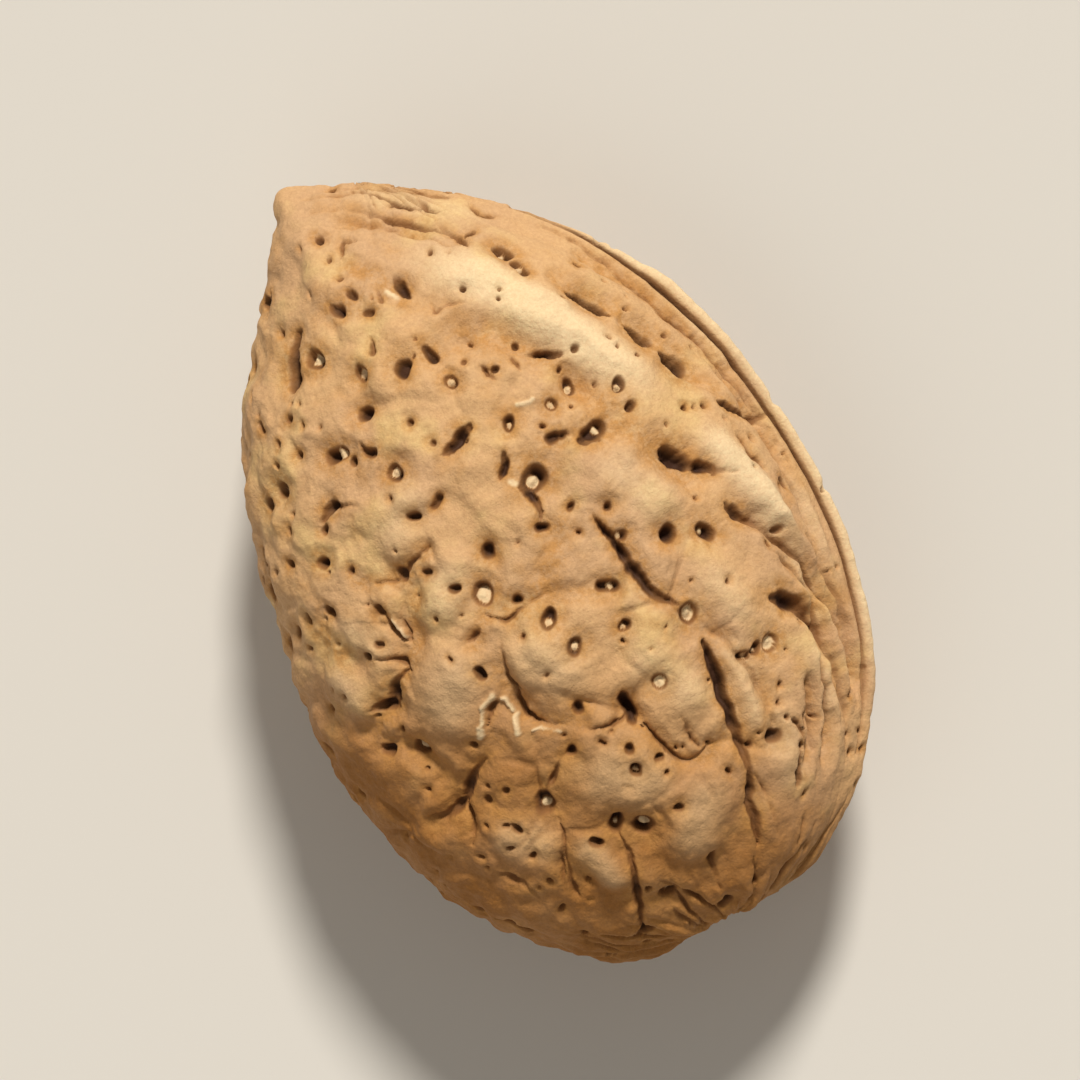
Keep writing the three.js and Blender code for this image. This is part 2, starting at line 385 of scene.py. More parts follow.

# The broad, light-coloured ridge beside the keel, its lower end, and lesser swellings beside them and at the
# tip, lighter along their crests as partly the shell's own colour and partly painted highlight: half width,
# height, paleness, places.
SWELLINGS = [
    (1.9, 0.38, 1.0, [(-0.6, 15.2), (2.0, 12.4), (3.8, 10.2), (5.5, 7.4), (7.0, 4.8), (8.3, 2.2)]),
    (1.4, 0.34, 0.9, [(8.3, 2.2), (9.3, -0.4), (9.9, -3.0), (9.8, -5.6)]),
    (1.0, 0.3, 0.4, [(9.2, 9.4), (10.2, 7.2), (11.0, 4.4), (11.3, 2.6)]),
    (0.9, 0.3, 0.4, [(9.3, -0.8), (10.0, -3.2), (10.2, -6.0), (9.6, -9.0)]),
    (1.1, 0.25, 0.4, [(5.6, -6.6), (5.5, -9.5), (5.0, -12.5)]),
    (1.2, 0.3, 0.4, [(8.6, -8.6), (8.9, -11.0), (7.8, -14.0)]),
    (0.7, 0.25, 0.4, [(11.2, -1.0), (11.4, -4.0), (11.0, -7.5)]),
    (1.4, 0.3, 0.4, [(-1.6, 17.6), (0.6, 16.6), (3.0, 14.8), (5.2, 13.0)]),
]

# The plates between the furrows, each swollen in its middle: half width, height, places.
PLATES = [
    (2.3, 0.62, [(-6.6, -4.6), (-5.8, -3.8)]),
    (2.1, 0.6, [(-2.4, -4.4), (-1.5, -5.4)]),
    (1.7, 0.42, [(-4.8, -0.6), (-4.2, 0.2)]),
    (1.5, 0.42, [(-8.8, 0.0), (-8.6, -0.8)]),
    (1.8, 0.42, [(-5.4, 3.2), (-4.4, 3.9)]),
    (1.3, 0.36, [(-10.2, -2.6), (-10.4, -1.6)]),
    (2.4, 0.56, [(-1.8, -10.4), (-0.6, -11.4)]),
    (2.0, 0.5, [(0.4, -14.4), (1.4, -13.4)]),
    (1.1, 0.34, [(-4.0, -13.0), (-3.6, -14.6)]),
    (1.7, 0.42, [(-6.8, -11.2), (-5.8, -11.8)]),
    (1.5, 0.34, [(5.9, -12.0), (5.6, -14.0)]),
    (1.7, 0.36, [(2.0, -7.0), (2.9, -8.6)]),
    (1.5, 0.34, [(6.2, -5.0), (6.6, -6.4)]),
    (1.9, 0.34, [(4.6, 1.0), (5.4, -0.6)]),
]

# Long soft valleys, most of them running beside the keel to the stem end, tinted ochre as partly real colour
# and partly painted shade: half width, depth, places.
VALLEYS = [
    (0.7, 0.56, [(8.4, -2.4), (9.6, -4.2), (10.6, -7.2), (10.3, -11.0), (9.4, -13.2)]),
    (0.7, 0.56, [(8.9, -4.4), (10.1, -6.9), (9.9, -9.2), (9.4, -11.4), (8.5, -13.6)]),
    (0.7, 0.6, [(8.4, -6.8), (9.5, -8.5), (9.0, -10.6), (8.1, -13.0), (6.5, -15.3)]),
    (0.5, 0.36, [(8.1, -10.2), (7.8, -11.6), (7.1, -13.0), (5.8, -14.8)]),
    (0.6, 0.3, [(10.6, 3.6), (11.2, 0.6), (11.35, -2.5), (11.1, -5.8), (10.6, -8.6)]),
    (0.6, 0.25, [(-2.0, 16.8), (0.2, 15.6), (2.2, 13.9)]),
    (0.7, 0.3, [(4.6, -5.8), (5.6, -8.0), (5.9, -10.6), (5.2, -13.6)]),
]

# Hollows under the ridge and along the plates' borders, tinted ochre as partly real colour and partly
# painted shade: half width, depth, places.
HOLLOWS = [
    (1.5, 0.5, [(1.2, 9.4), (2.8, 8.5), (4.2, 7.0), (5.0, 5.4)]),
    (1.3, 0.3, [(4.6, 5.6), (5.5, 3.6), (6.3, 1.6), (7.2, -0.4)]),
    (0.9, 0.3, [(6.2, 9.9), (7.8, 7.9), (9.2, 5.2), (10.2, 2.6)]),
    (0.8, 0.2, [(7.6, 10.2), (9.2, 8.0), (10.2, 5.7), (11.0, 3.2)]),
    (0.9, 0.12, [(-1.9, 14.4), (-0.9, 13.2), (-0.6, 12.0)]),
    (1.3, 0.12, [(-10.2, 0.6), (-10.0, -0.8)]),
    (1.2, 0.14, [(-2.2, -2.6), (-0.6, -1.8), (1.2, 0.2)]),
    (1.4, 0.16, [(-7.0, -9.6), (-6.0, -11.6), (-4.8, -13.6)]),
    (0.9, 0.34, [(-5.9, 0.2), (-6.8, -1.5), (-8.0, -2.6), (-9.1, -3.7), (-10.5, -4.2)]),
    (1.0, 0.3, [(-9.4, -5.2), (-8.4, -7.4), (-8.5, -9.6)]),
    (0.9, 0.3, [(-5.6, -6.9), (-7.0, -7.8), (-8.3, -8.9), (-9.6, -9.0)]),
    (0.8, 0.28, [(-3.9, -4.0), (-3.9, -6.0), (-3.2, -7.2), (-1.8, -7.9)]),
    (0.7, 0.22, [(-4.6, -2.9), (-3.4, -2.0), (-1.2, -2.2), (0.6, -2.8)]),
    (0.8, 0.22, [(-7.8, 1.9), (-6.4, 1.2), (-4.6, 1.9)]),
    (0.8, 0.26, [(0.2, -8.4), (0.9, -10.6), (2.0, -11.7), (3.6, -11.2)]),
    (1.2, 0.12, [(-3.0, -16.0), (-1.4, -17.0)]),
]

# How much lighter the plates' swollen middles are painted, partly painted highlight.
PLATE_PALENESS = 0.4
# How strongly the valleys are tinted ochre, partly as painted shade.
VALLEY_OCHRE_AND_SHADE = 0.8

# A swelling or valley fades in and out over this share of its length at each end.
SWELLING_FADES = 0.3
VALLEY_FADES = 0.2

# The fine furrow at the bottom of each valley: half widths along it, and depths as shares of the valley's.
VALLEY_FURROW_WIDTHS = [0.06, 0.18, 0.18, 0.06]
VALLEY_FURROW_DEPTHS = np.array([0.0, 0.5, 0.4, 0.0])

# Across a cut, in half widths from its middle: where its wall, the dimple round it, the painted shade in it
# and the ochre tint round it, partly painted shade, begin to weaken, and where each ends.
WALL = (0.25, 1.05)
DIMPLE = (0.4, 3.2)
SHADE = (0.3, 1.3)
HALO = (1.0, 3.0)

DIMPLE_DEPTH = 0.4  # as a share of the depth of the cut
# DARKEST is the strongest painted shade in a cut, partly the shell's own brown there.
DARKEST = 0.92
SHADED_FROM_DEPTH = 0.5  # cuts at least this deep are at their darkest
OCHRE_AND_SHADE_FROM_DEPTH = 0.4  # and at least this deep have a full ochre tint round them, partly painted shade

# The places of cuts and swellings waver, and so do the depths of cuts: lump size, amount, and the shifts
# that make each direction waver in its own way.
WAVER = [(1.0, 0.2, (3, 31, 57)), (0.42, 0.07, (5, 37, 61))]
DEPTH_WAVER = (0.8, 0.5, 11)

# Unevenness between the marks: lump size, height, and a shift that makes each layer unlike the others.
BROAD_LUMPS = (5.0, 0.24)
LUMPS = [(2.1, 0.3, 7), (1.1, 0.2, 29)]
GRIT = [(0.5, 0.065, 13), (0.27, 0.03, 19)]
PLATE_WARP = (2.0, 0.9, (41, 43, 47))
PLATE_SIZE = 3.1

# Where the grooves beside the keel's lip start and end, and where the second, finer ones do, from 1 at the
# tip to -1 at the stem end.
GROOVE_RISES = (0.84, -0.74)
SECOND_GROOVE_RISES = (0.76, -0.1)


def curve_through(places, steps=8):
    """Points close together on a smooth curve through a few places."""
    knots = np.array(places, float)
    knots = np.concatenate([2 * knots[:1] - knots[1:2], knots, 2 * knots[-1:] - knots[-2:-1]])
    t = np.linspace(0, 1, steps, endpoint=False)[:, None]
    pieces = []
    for before, start, end, after in zip(knots, knots[1:], knots[2:], knots[3:]):
        linear = end - before
        square = 2 * before - 5 * start + 4 * end - after
        cube = 3 * (start - end) + after - before
        pieces.append(start + 0.5 * (linear * t + square * t**2 + cube * t**3))
    return np.concatenate([*pieces, knots[-2:-1]])


def on_grain(turn, rise):
    """Points of the skin by the grain: degrees round the long axis from the keel, and -1 to 1 along it."""
    turn = np.radians(turn)
    ring = np.sqrt(1 - rise**2)
    return skin(np.stack([np.cos(turn) * ring, rise, np.sin(turn) * ring], axis=-1))


class Shell:
    """The nut's smooth skin, with the marks made in it so far."""

    def __init__(self):
        self.direction, self.squares = swollen_box()
        self.smooth = skin(self.direction)
        self.normal = normals_of(self.smooth, self.squares)
        count = len(self.smooth)

        # Millimetres outwards, and millimetres inwards for cuts and for the dimples round them.
        self.raised = np.zeros(count)
        self.cut = np.zeros(count)
        self.sunk = np.zeros(count)

        # From 0 to 1: how much darker the cuts are painted, partly painted shade; how much lighter the
        # crests are, partly painted highlight; how ochre the hollows are, partly painted shade.
        self.darkness_and_shade = np.zeros(count)
        self.paleness_and_highlight = np.zeros(count)
        self.ochre_and_shade = np.zeros(count)

        # The middle and the reach of each pit made so far.
        self.taken = []

        self.wobbly = self.smooth + sum(wavering(self.smooth, *waver) for waver in WAVER)
        size, amount, shift = DEPTH_WAVER
        self.uneven = 1 + amount * noise(self.smooth / size + shift)

        sight = np.array(toward(VIEW_AZIMUTH, VIEW_ELEVATION))
        in_view = np.flatnonzero(self.normal @ sight > 0)
        along_sight = self.smooth[in_view] - self.smooth[in_view, 2:] * sight / sight[2]
        self.seen = KDTree(len(in_view))
        for i, place in zip(in_view, along_sight):
            self.seen.insert(place, i)
        self.seen.balance()

    def on_cheek(self, places):
        """The points of the skin that the camera sees at these places."""
        return self.smooth[[self.seen.find((*place, 0))[1] for place in places]]

    def near(self, path, half_widths, reach, even=False):
        """The points near a path, their distance from it in half widths, and how far along it they are.

        The path wavers unless it is even.
        """
        margin = np.max(half_widths) * reach
        points = self.smooth if even else self.wobbly
        inside = (points > path.min(0) - margin) & (points < path.max(0) + margin)
        found = np.flatnonzero(np.all(inside, axis=1))
        points = points[found]
        best = np.full(len(found), np.inf)
        along = np.zeros(len(found))
        steps = max(1, len(path) - 1)
        for k in range(steps):
            start, end = path[k], path[min(k + 1, len(path) - 1)]
            line = end - start
            t = np.clip((points - start) @ line / max(line @ line, 1e-9), 0, 1)
            width = np.interp((k + t) / steps, np.linspace(0, 1, len(half_widths)), half_widths)
            distance = np.linalg.norm(points - start - t[:, None] * line, axis=1) / width
            closer = distance < best
            best[closer] = distance[closer]
            along[closer] = (k + t[closer]) / steps
        return found, best, along

    def carve(self, path, half_widths, depths, even=False):
        """Cuts a furrow, or a pit where the path is short, in a shallow dimple, painted darker inside as
        partly painted shade, with an ochre tint round it that is partly painted shade.
        """
        found, distance, along = self.near(path, half_widths, DIMPLE[1], even)
        depth = np.interp(along, np.linspace(0, 1, len(depths)), depths)
        if not even:
            depth *= self.uneven[found]
        self.cut[found] = np.maximum(self.cut[found], depth * (1 - smoothstep(*WALL, distance)))
        dimple = DIMPLE_DEPTH * depth * (1 - smoothstep(*DIMPLE, distance))
        self.sunk[found] = np.maximum(self.sunk[found], dimple)
        # Painted shade in the cut, stronger for deeper cuts and towards its middle; partly the shell's own
        # brown.
        shade = DARKEST * np.clip(depth / SHADED_FROM_DEPTH, 0, 1) * (1 - smoothstep(*SHADE, distance))
        self.darkness_and_shade[found] = np.maximum(self.darkness_and_shade[found], shade)
        if not even:
            # An ochre tint round the cut, in its dimple: partly real colour, partly painted shade.
            halo = np.clip(depth / OCHRE_AND_SHADE_FROM_DEPTH, 0, 1) * (1 - smoothstep(*HALO, distance))
            self.ochre_and_shade[found] = np.maximum(self.ochre_and_shade[found], halo)

    def bead(self, place, radius, depth, paleness_and_highlight):
        """Leaves a rounded bead in the middle of a pit, lighter than the shell or nearly its own colour."""
        found, distance, _ = self.near(place[None], [radius], 1.0)
        dome = np.maximum(0, 1 - distance**2)
        self.cut[found] -= depth * dome
        self.darkness_and_shade[found] *= 1 - smoothstep(0.05, 0.5, dome)
        self.paleness_and_highlight[found] = np.maximum(self.paleness_and_highlight[found], paleness_and_highlight * smoothstep(0.1, 0.6, dome))

    def pit(self, place, radius, beaded=False, paleness_and_highlight=1.0):
        """Makes a pit at a point of the skin, with a bead in it or empty."""
        self.taken.append((place, 1.1 * radius))
        stretch = RANDOM.normal(size=3) * RANDOM.uniform(0.1, 0.45) * radius
        self.carve(np.array([place - stretch, place + stretch]), [0.95 * radius], [1.1 * radius + 0.14])
        if beaded:
            width = RANDOM.uniform(0.5, 0.75) * radius
            self.bead(place + 0.6 * stretch, width, 0.95 * radius, paleness_and_highlight)

    def has_room(self, place, radius):
        """Whether a pit here would stay clear of the pits made before."""
        return all(np.linalg.norm(place - other) > 1.1 * radius + reach for other, reach in self.taken)

    def swell(self, path, half_width, height, paleness_and_highlight=0.0, ochre_and_shade=0.0, even=False, fading=0.0):
        """Raises a soft swelling along a path, and colours it: lighter along its crest, partly as painted
        highlight, and for valleys and hollows an ochre tint that is partly painted shade. It may fade over a
        share of each end.
        """
        found, distance, along = self.near(path, [half_width], 1.0, even)
        dome = np.maximum(0, 1 - distance**2) ** 2
        if fading:
            dome *= smoothstep(0, fading, along) * smoothstep(0, fading, 1 - along)
        self.raised[found] += height * dome
        self.paleness_and_highlight[found] = np.maximum(self.paleness_and_highlight[found], paleness_and_highlight * dome)
        self.ochre_and_shade[found] = np.maximum(self.ochre_and_shade[found], ochre_and_shade * dome)


def mark_upper_cheek(shell):
    """The marks that make this nut itself: its ridge, wedges, furrows, slots, flakes and chief pits."""
    for half_width, height, paleness_and_highlight, places in SWELLINGS:
        shell.swell(shell.on_cheek(curve_through(places)), half_width, height, paleness_and_highlight, fading=SWELLING_FADES)
    for half_width, height, places in PLATES:
        shell.swell(shell.on_cheek(curve_through(places)), half_width, height, PLATE_PALENESS)
    for half_width, depth, places in VALLEYS:
        path = shell.on_cheek(curve_through(places))
        # The valley's floor is tinted ochre, partly as painted shade.
        shell.swell(path, half_width, -depth, ochre_and_shade=VALLEY_OCHRE_AND_SHADE, fading=VALLEY_FADES)
        shell.carve(path, VALLEY_FURROW_WIDTHS, VALLEY_FURROW_DEPTHS * depth)
    for half_width, depth, places in HOLLOWS:
        # Each hollow is tinted ochre, partly as painted shade.
        shell.swell(shell.on_cheek(curve_through(places)), half_width, -depth, ochre_and_shade=1.0)
    for start_width, end_width, start_depth, end_depth, places in FURROWS:
        path = shell.on_cheek(curve_through(places))
        middle_width = (start_width + end_width) / 2
        widths = np.array([0.5 * start_width, start_width, middle_width, end_width, 0.5 * end_width])
        shell.carve(path, 0.95 * widths, [0.5 * start_depth, start_depth, end_depth, 0.5 * end_depth])
    for x, y, radius in PITS:
        shell.pit(shell.on_cheek([(x, y)])[0], 1.05 * radius)
    for x, y, radius in BEADED_PITS:
        shell.pit(shell.on_cheek([(x, y)])[0], radius, beaded=True, paleness_and_highlight=min(1.0, 2 * radius))
    for half_width, height, places in FLAKES:
        # Flakes painted lightest: partly the shell's own colour, partly painted highlight.
        shell.swell(shell.on_cheek(curve_through(places)), half_width, height, paleness_and_highlight=1.0)


def mark_seams(shell):
    """The darker grooves on each side of the keel's lip, the lip, and the faint seam down the nut's back."""
    rise = np.linspace(*GROOVE_RISES, 60)
    upper_rise = np.linspace(*SECOND_GROOVE_RISES, 40)
    for side in (1, -1):
        groove = on_grain(side * (6.0 - 1.2 * rise + 0.6 * np.sin(5 * rise)), rise)
        shell.carve(groove, [0.1, 0.13, 0.13, 0.13, 0.1], [0.25, 0.45, 0.45, 0.35, 0.1], even=True)
        second = on_grain(side * (10.5 + 1.3 * np.sin(4 * upper_rise)), upper_rise)
        shell.carve(second, [0.07, 0.12, 0.07], [0.1, 0.26, 0.1])
    # The lip's crest painted lighter: partly the shell's own colour, partly painted highlight.
    shell.swell(on_grain(0 * rise, rise), 0.6, 0.12, paleness_and_highlight=0.9, even=True, fading=0.2)
    shell.carve(on_grain(180 + 1.5 * np.sin(9 * rise), rise), [0.1, 0.16, 0.12], [0.1, 0.16, 0.1])


def mark_ends(shell):
    """Furrows that run out from the stem scar, and finer ones that gather at the tip."""
    for turn in np.arange(0, 360, 16):
        turn = turn + RANDOM.uniform(-8, 8)
        rise = np.linspace(RANDOM.uniform(-0.99, -0.96), RANDOM.uniform(-0.93, -0.74), 14)
        path = on_grain(turn + RANDOM.uniform(-120, 120) * (rise - rise[0]), rise)
        shell.carve(path, [0.1, RANDOM.uniform(0.1, 0.2), 0.08], [0.2, RANDOM.uniform(0.1, 0.35), 0.0])
    for turn in np.arange(-80, 80, 13):
        turn = turn + RANDOM.uniform(-6, 6)
        rise = np.linspace(0.99, RANDOM.uniform(0.75, 0.94), 14)
        path = on_grain(turn + RANDOM.uniform(-25, 25) * (0.99 - rise), rise)
        shell.carve(path, [0.07, RANDOM.uniform(0.08, 0.14), 0.07], [0.12, RANDOM.uniform(0.08, 0.2), 0.0])
    stem_scar = on_grain(np.array([0.0]), np.array([-1.0]))
    shell.carve(stem_scar, [1.3], [0.4])


def mark_lower_cheek(shell):
    """The same kinds of mark on the cheek that the nut lies on, and on its edges, in places of their own."""
    for _ in range(16):
        turn, start = RANDOM.uniform(-75, -22), RANDOM.uniform(-0.2, 0.8)
        rise = np.linspace(start, start - RANDOM.uniform(0.2, 0.6), 16)
        bend = RANDOM.uniform(-25, 25)
        width, depth = RANDOM.uniform(0.14, 0.32), RANDOM.uniform(0.2, 0.5)
        path = on_grain(turn + bend * (start - rise), rise)
        shell.carve(path, [0.6 * width, width, 0.1], [depth, depth, 0.05])
    for _ in range(46):
        turn, start = RANDOM.uniform(-200, -20), RANDOM.uniform(-0.85, 0.85)
        rise = np.linspace(start, start - RANDOM.uniform(0.02, 0.1), 6)
        slant = RANDOM.uniform(-140, 140)
        width = RANDOM.uniform(0.12, 0.28)
        shell.carve(on_grain(turn + slant * (start - rise), rise), [0.7 * width, width], [0.3, 0.5])
    for _ in range(150):
        turn, rise = RANDOM.uniform(-215, -12), RANDOM.uniform(-0.9, 0.9)
        place = on_grain(np.array([turn]), np.array([rise]))[0]
        radius = RANDOM.uniform(0.16, 0.42)
        if shell.has_room(place, radius):
            shell.pit(place, radius, RANDOM.random() < 0.3, RANDOM.uniform(0.1, 1.0))


def sprinkle_small_pits(shell):
    """Pinholes all over, between the larger marks."""
    for place in RANDOM.choice(shell.smooth, 420, replace=False):
        radius = RANDOM.triangular(0.07, 0.1, 0.24)
        if shell.has_room(place, radius):
            shell.pit(place, radius)


def relief(shell):
    """The unevenness between the marks: lumps, grit, plates with narrow gaps, streaks along the grain."""
    a, b, c = shell.direction.T
    ring = np.hypot(a, c) + 1e-9
    lip = smoothstep(0.955, 0.985, a / ring) * smoothstep(-0.85, -0.6, b)
    by_keel = smoothstep(0.4, 0.8, a / ring) * (1 - lip)
    by_tip = smoothstep(0.7, 0.97, b) * smoothstep(-0.6, 0.4, a / ring)
    by_ends = np.maximum(by_tip, smoothstep(0.68, 0.97, -b))
    streaked = np.maximum(0.4 * by_keel, by_ends)
    calm = np.maximum(np.maximum(0.85 * lip, 0.6 * by_keel), 0.45 * shell.paleness_and_highlight)

    size, height = BROAD_LUMPS
    lumps = height * layered(shell.smooth, size, 2)
    lumps += sum(height * noise(shell.smooth / size + shift) for size, height, shift in LUMPS)
    grit = sum(height * noise(shell.smooth / size + shift) for size, height, shift in GRIT)

    gap = plate_gaps((shell.smooth + wavering(shell.smooth, *PLATE_WARP)) / PLATE_SIZE)
    patchy = smoothstep(0.0, 0.3, noise(shell.smooth / 4.5 + 53)) * (1 - streaked) * smoothstep(0.35, 0.0, b)
    plates = 0.15 * smoothstep(0, 0.4, gap) * (1 - streaked)
    plates -= 0.12 * patchy * (1 - smoothstep(0.02, 0.12, gap))

    grain = np.stack([a / ring * 5, b * 2.0, c / ring * 5], axis=1)
    streaks = layered(grain + 0.3 * noise(shell.smooth / 3.0)[:, None], 1.0, 2)
    furrowed = 0.32 * streaks - 0.14 * (1 - smoothstep(0.0, 0.2, np.abs(streaks)))
    # Painted shade in the narrow gaps between plates and along the streaks' furrows.
    shell.darkness_and_shade += 0.22 * patchy * (1 - smoothstep(0.01, 0.08, gap))
    shell.darkness_and_shade += 0.16 * streaked * (1 - smoothstep(0.0, 0.1, np.abs(streaks)))
    return (1 - calm) * (lumps + plates + streaked * furrowed) + (1 - 0.5 * calm) * grit


def bake_layout(direction, squares):
    """Two round maps side by side, one for each cheek, opened out towards the rim."""
    r = np.hypot(direction[:, 0], direction[:, 1])
    opened = 0.4 * r + 0.6 * np.arcsin(np.clip(r, 0, 1)) / (math.pi / 2)
    flat = direction[:, :2] * (opened / np.maximum(r, 1e-9))[:, None]
    corners = flat[squares.ravel()]
    upper = np.repeat(direction[squares, 2].mean(axis=1) > 0, 4)
    u = 0.25 + 0.24 * corners[:, 0] + 0.5 * upper
    v = 0.5 + 0.48 * corners[:, 1]
    return np.stack([u, v], axis=1)


def browning_and_shade(direction):
    """How brown the shell is painted: browner towards the stem end, most of all away from the keel; partly
    the shell's own colour, partly painted shade.
    """
    a, b, _ = direction.T
    away_from_keel = np.minimum(a, 0) * (0.12 + 0.9 * np.maximum(-b, 0))
    return smoothstep(0.05, -0.58, 0.9 * b + away_from_keel + np.maximum(a, 0))


def build_shell():
    shell = Shell()
    mark_upper_cheek(shell)
    mark_seams(shell)
    mark_ends(shell)
    mark_lower_cheek(shell)
    sprinkle_small_pits(shell)

    offset = relief(shell) + shell.raised - shell.sunk - shell.cut
    points = shell.smooth + offset[:, None] * shell.normal

    # The plates stand proud of the smooth cheek, so the upper cheek is lowered until it has the CAD height.
    upper = points[:, 2] > 0
    points[upper, 2] *= CHEEK / points[:, 2].max()
    points[:, 2] = rested(points[:, 2] + CHEEK - FLAT_DEPTH)

    mesh = bpy.data.meshes.new("almond_shell")
    mesh.from_pydata(points * MM, [], shell.squares)
    mesh.shade_smooth()
    layout = mesh.uv_layers.new(name="OFBake")
    layout.uv.foreach_set("vector", bake_layout(shell.direction, shell.squares).astype(np.float32).ravel())
    # Browner towards the stem end: partly the shell's own colour, partly painted shade.
    browned_and_shaded = browning_and_shade(shell.direction)
    tones = {"darkness_and_shade": shell.darkness_and_shade, "paleness_and_highlight": shell.paleness_and_highlight, "ochre_and_shade": shell.ochre_and_shade, "browned_and_shaded": browned_and_shaded}
    for name, values in tones.items():
        attribute = mesh.attributes.new(name, "FLOAT", "POINT")
        attribute.data.foreach_set("value", np.clip(values, 0, 1).astype(np.float32))
    piece = bpy.data.objects.new("almond_shell", mesh)
    bpy.context.scene.collection.objects.link(piece)
    piece.data.materials.append(shell_material())
    return piece


# --- Materials ------------------------------------------------------------------------------------------


class NodeTree:
    """Short calls for the few kinds of node that the materials use."""

    def __init__(self, name):
        self.material = bpy.data.materials.new(name)
        self.material.use_nodes = True
        self.tree = self.material.node_tree
        self.shader = self.tree.nodes["Principled BSDF"]

    def put(self, socket, value):
        if isinstance(value, bpy.types.NodeSocket):
            self.tree.links.new(value, socket)
        else:
            socket.default_value = value

    def attribute(self, name):
        node = self.tree.nodes.new("ShaderNodeAttribute")
        node.attribute_name = name
        return node.outputs["Fac"]

    def noise(self, lump_mm, detail=2.0, roughness=0.5, offset=0.0):
        """Noise with lumps of about this many millimetres, fixed to the piece. The offset is in metres."""
        place = self.tree.nodes.new("ShaderNodeTexCoord").outputs["Object"]
        shifted = self.tree.nodes.new("ShaderNodeVectorMath")
        shifted.inputs[1].default_value = (offset, offset, offset)
        self.put(shifted.inputs[0], place)
        node = self.tree.nodes.new("ShaderNodeTexNoise")
        self.put(node.inputs["Vector"], shifted.outputs["Vector"])
        node.inputs["Scale"].default_value = 1 / (lump_mm * MM)
        node.inputs["Detail"].default_value = detail
        node.inputs["Roughness"].default_value = roughness
        return node.outputs["Fac"]

    def remap(self, value, low, high, to_low=0.0, to_high=1.0):
        node = self.tree.nodes.new("ShaderNodeMapRange")
        node.interpolation_type = "SMOOTHSTEP"
        self.put(node.inputs["Value"], value)
        for name, number in zip(("From Min", "From Max", "To Min", "To Max"), (low, high, to_low, to_high)):
            node.inputs[name].default_value = number
        return node.outputs["Result"]

    def times(self, first, second):
        node = self.tree.nodes.new("ShaderNodeMath")
        node.operation = "MULTIPLY"
        self.put(node.inputs[0], first)
        self.put(node.inputs[1], second)
        return node.outputs["Value"]

    def mix(self, share, first, second, blend="MIX"):
        node = self.tree.nodes.new("ShaderNodeMix")
        node.data_type = "RGBA"
        node.blend_type = blend
        self.put(node.inputs["Factor"], share)
        self.put(node.inputs["A"], first)
        self.put(node.inputs["B"], second)
        return node.outputs["Result"]

    def bump(self, height, distance_mm, strength=1.0, under=None):
        node = self.tree.nodes.new("ShaderNodeBump")
        node.inputs["Distance"].default_value = distance_mm * MM
        node.inputs["Strength"].default_value = strength
        self.put(node.inputs["Height"], height)
        if under is not None:
            self.put(node.inputs["Normal"], under)
        return node.outputs["Normal"]


# CREAM is partly painted highlight; OCHRE, UMBER, BROWN and DEEP_BROWN are partly painted shade, OCHRE also
# the shell's own random blotches.
TAN = (0.58, 0.35, 0.165, 1)
PINKISH = (0.54, 0.325, 0.165, 1)
STRAW = (0.62, 0.41, 0.18, 1)
OCHRE = (0.45, 0.215, 0.055, 1)
CREAM = (0.75, 0.575, 0.345, 1)
UMBER = (0.32, 0.135, 0.028, 1)
BROWN = (0.2, 0.08, 0.02, 1)
DEEP_BROWN = (0.04, 0.012, 0.003, 1)
BLACK = (0, 0, 0, 1)
WHITE = (1, 1, 1, 1)
FLOOR_COLOUR = (0.66, 0.64, 0.60, 1)


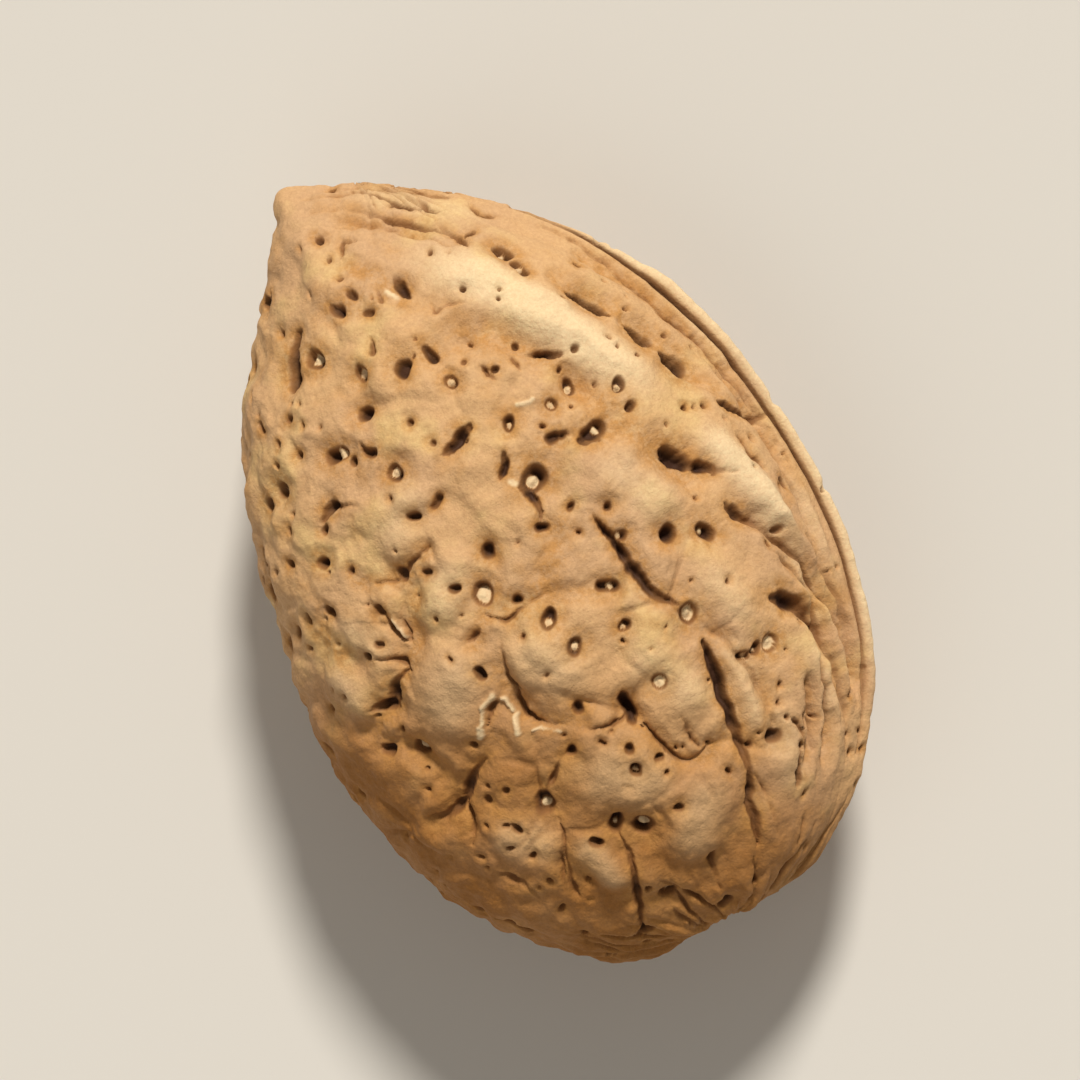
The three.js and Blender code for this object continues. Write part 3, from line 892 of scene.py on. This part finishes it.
def shell_material():
    """Matt, finely grained shell: patches of tan, browner towards the stem end, ochre in hollows and round
    cuts, and brown to nearly black in cuts, each partly painted shade; lighter on crests, partly painted
    highlight.
    """
    nodes = NodeTree("shell")
    ochre_and_shade, paleness_and_highlight, darkness_and_shade = nodes.attribute("ochre_and_shade"), nodes.attribute("paleness_and_highlight"), nodes.attribute("darkness_and_shade")
    browned_and_shaded = nodes.attribute("browned_and_shaded")

    colour = nodes.mix(nodes.remap(nodes.noise(6.0), 0.38, 0.62), TAN, PINKISH)
    colour = nodes.mix(nodes.remap(nodes.noise(3.0, 3.0, offset=0.1), 0.5, 0.72), colour, STRAW)
    blotches = nodes.remap(nodes.noise(2.2, 4.0, 0.6, offset=0.2), 0.5, 0.75, 0.0, 0.5)
    colour = nodes.mix(blotches, colour, OCHRE)
    patches = nodes.remap(nodes.noise(4.0, 4.0, 0.6, offset=0.5), 0.35, 0.65, 0.75, 1.0)
    # Umber towards the stem end: partly the shell's own brown, partly painted shade.
    colour = nodes.mix(nodes.times(browned_and_shaded, patches), colour, UMBER)
    # Ochre in hollows, valleys and round cuts: partly the shell's own colour, partly painted shade.
    ochre_and_shade_share = nodes.times(ochre_and_shade, nodes.remap(nodes.noise(0.6, 4.0, 0.7, offset=0.3), 0.36, 0.62, 0.15, 0.85))
    colour = nodes.mix(ochre_and_shade_share, colour, OCHRE)
    # Cream on crests, flakes, beads and the lip: partly the shell's own lighter colour, partly painted
    # highlight.
    colour = nodes.mix(nodes.remap(paleness_and_highlight, 0.0, 1.0, 0.0, 0.85), colour, CREAM)

    # Fine grains lighten and darken the surface a little.
    grains = nodes.remap(nodes.noise(0.16, 3.0, 0.7), 0.25, 0.75, 0.4, 0.6)
    colour = nodes.mix(0.55, colour, nodes.mix(grains, BLACK, WHITE), "OVERLAY")

    # Brown to nearly black in cuts: partly the shell's own colour there, partly painted shade.
    colour = nodes.mix(nodes.remap(darkness_and_shade, 0.05, 0.5, 0.0, 0.85), colour, BROWN)
    colour = nodes.mix(nodes.remap(darkness_and_shade, 0.4, 1.0), colour, DEEP_BROWN)
    nodes.put(nodes.shader.inputs["Base Color"], colour)

    roughness = nodes.remap(nodes.noise(0.5, 3.0, offset=0.4), 0.3, 0.7, 0.7, 0.88)
    nodes.put(nodes.shader.inputs["Roughness"], roughness)
    nodes.shader.inputs["Specular IOR Level"].default_value = 0.35
    coarse = nodes.bump(nodes.noise(0.35, 3.0, 0.6), 0.09, 0.8)
    nodes.put(nodes.shader.inputs["Normal"], nodes.bump(nodes.noise(0.1, 3.0, 0.7), 0.035, 0.8, coarse))
    return nodes.material


def floor_material():
    """Plain, pale and matt."""
    material = bpy.data.materials.new("floor")
    material.use_nodes = True
    shader = material.node_tree.nodes["Principled BSDF"]
    shader.inputs["Base Color"].default_value = FLOOR_COLOUR
    shader.inputs["Roughness"].default_value = 0.9
    return material


# --- Stage ----------------------------------------------------------------------------------------------

# Metres, but for the lens, which is in millimetres.
CAMERA_DISTANCE = 0.4
CAMERA_TARGET = Vector((0.0, 0.0, 0.006))
LENS = 300.0
FLOOR_HALF_SIZE = 20
SURROUNDINGS_COLOUR = (1.0, 0.93, 0.84, 1)
SURROUNDINGS_STRENGTH = 0.24


def add_camera():
    camera = bpy.data.objects.new("camera", bpy.data.cameras.new("camera"))
    camera.data.lens = LENS
    sight = toward(VIEW_AZIMUTH, VIEW_ELEVATION)
    turn = math.radians(UP_FROM_TIP)
    right = Vector((math.sin(turn), math.cos(turn), 0)).cross(sight)
    right.normalize()
    camera.location = CAMERA_TARGET + sight * CAMERA_DISTANCE
    camera.rotation_euler = Matrix((right, sight.cross(right), sight)).transposed().to_euler()
    bpy.context.scene.collection.objects.link(camera)
    bpy.context.scene.camera = camera


def add_light(name, azimuth, elevation, spread, strength, colour):
    """A soft, even light from far away. Its spread, in degrees, is how wide it looks from the nut."""
    light = bpy.data.objects.new(name, bpy.data.lights.new(name, "SUN"))
    light.data.angle = math.radians(spread)
    light.data.energy = strength
    light.data.color = colour
    light.rotation_euler = toward(azimuth, elevation).to_track_quat("Z", "Y").to_euler()
    bpy.context.scene.collection.objects.link(light)


def add_floor():
    half = FLOOR_HALF_SIZE
    corners = [(-half, -half, 0), (half, -half, 0), (half, half, 0), (-half, half, 0)]
    mesh = bpy.data.meshes.new("floor")
    mesh.from_pydata(corners, [], [(0, 1, 2, 3)])
    mesh.materials.append(floor_material())
    floor = bpy.data.objects.new("floor", mesh)
    bpy.context.scene.collection.objects.link(floor)


def add_surroundings():
    world = bpy.data.worlds.new("studio")
    world.use_nodes = True
    background = world.node_tree.nodes["Background"]
    background.inputs["Color"].default_value = SURROUNDINGS_COLOUR
    background.inputs["Strength"].default_value = SURROUNDINGS_STRENGTH
    bpy.context.scene.world = world
    bpy.context.scene.view_settings.view_transform = "Standard"


add_camera()
add_surroundings()
add_floor()
add_light("key", azimuth=142, elevation=42, spread=10, strength=3.7, colour=(1.0, 0.95, 0.87))
add_light("fill", azimuth=-60, elevation=50, spread=60, strength=0.45, colour=(1.0, 0.92, 0.82))

almond = build_shell()
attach(almond, "root")
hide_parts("almond")
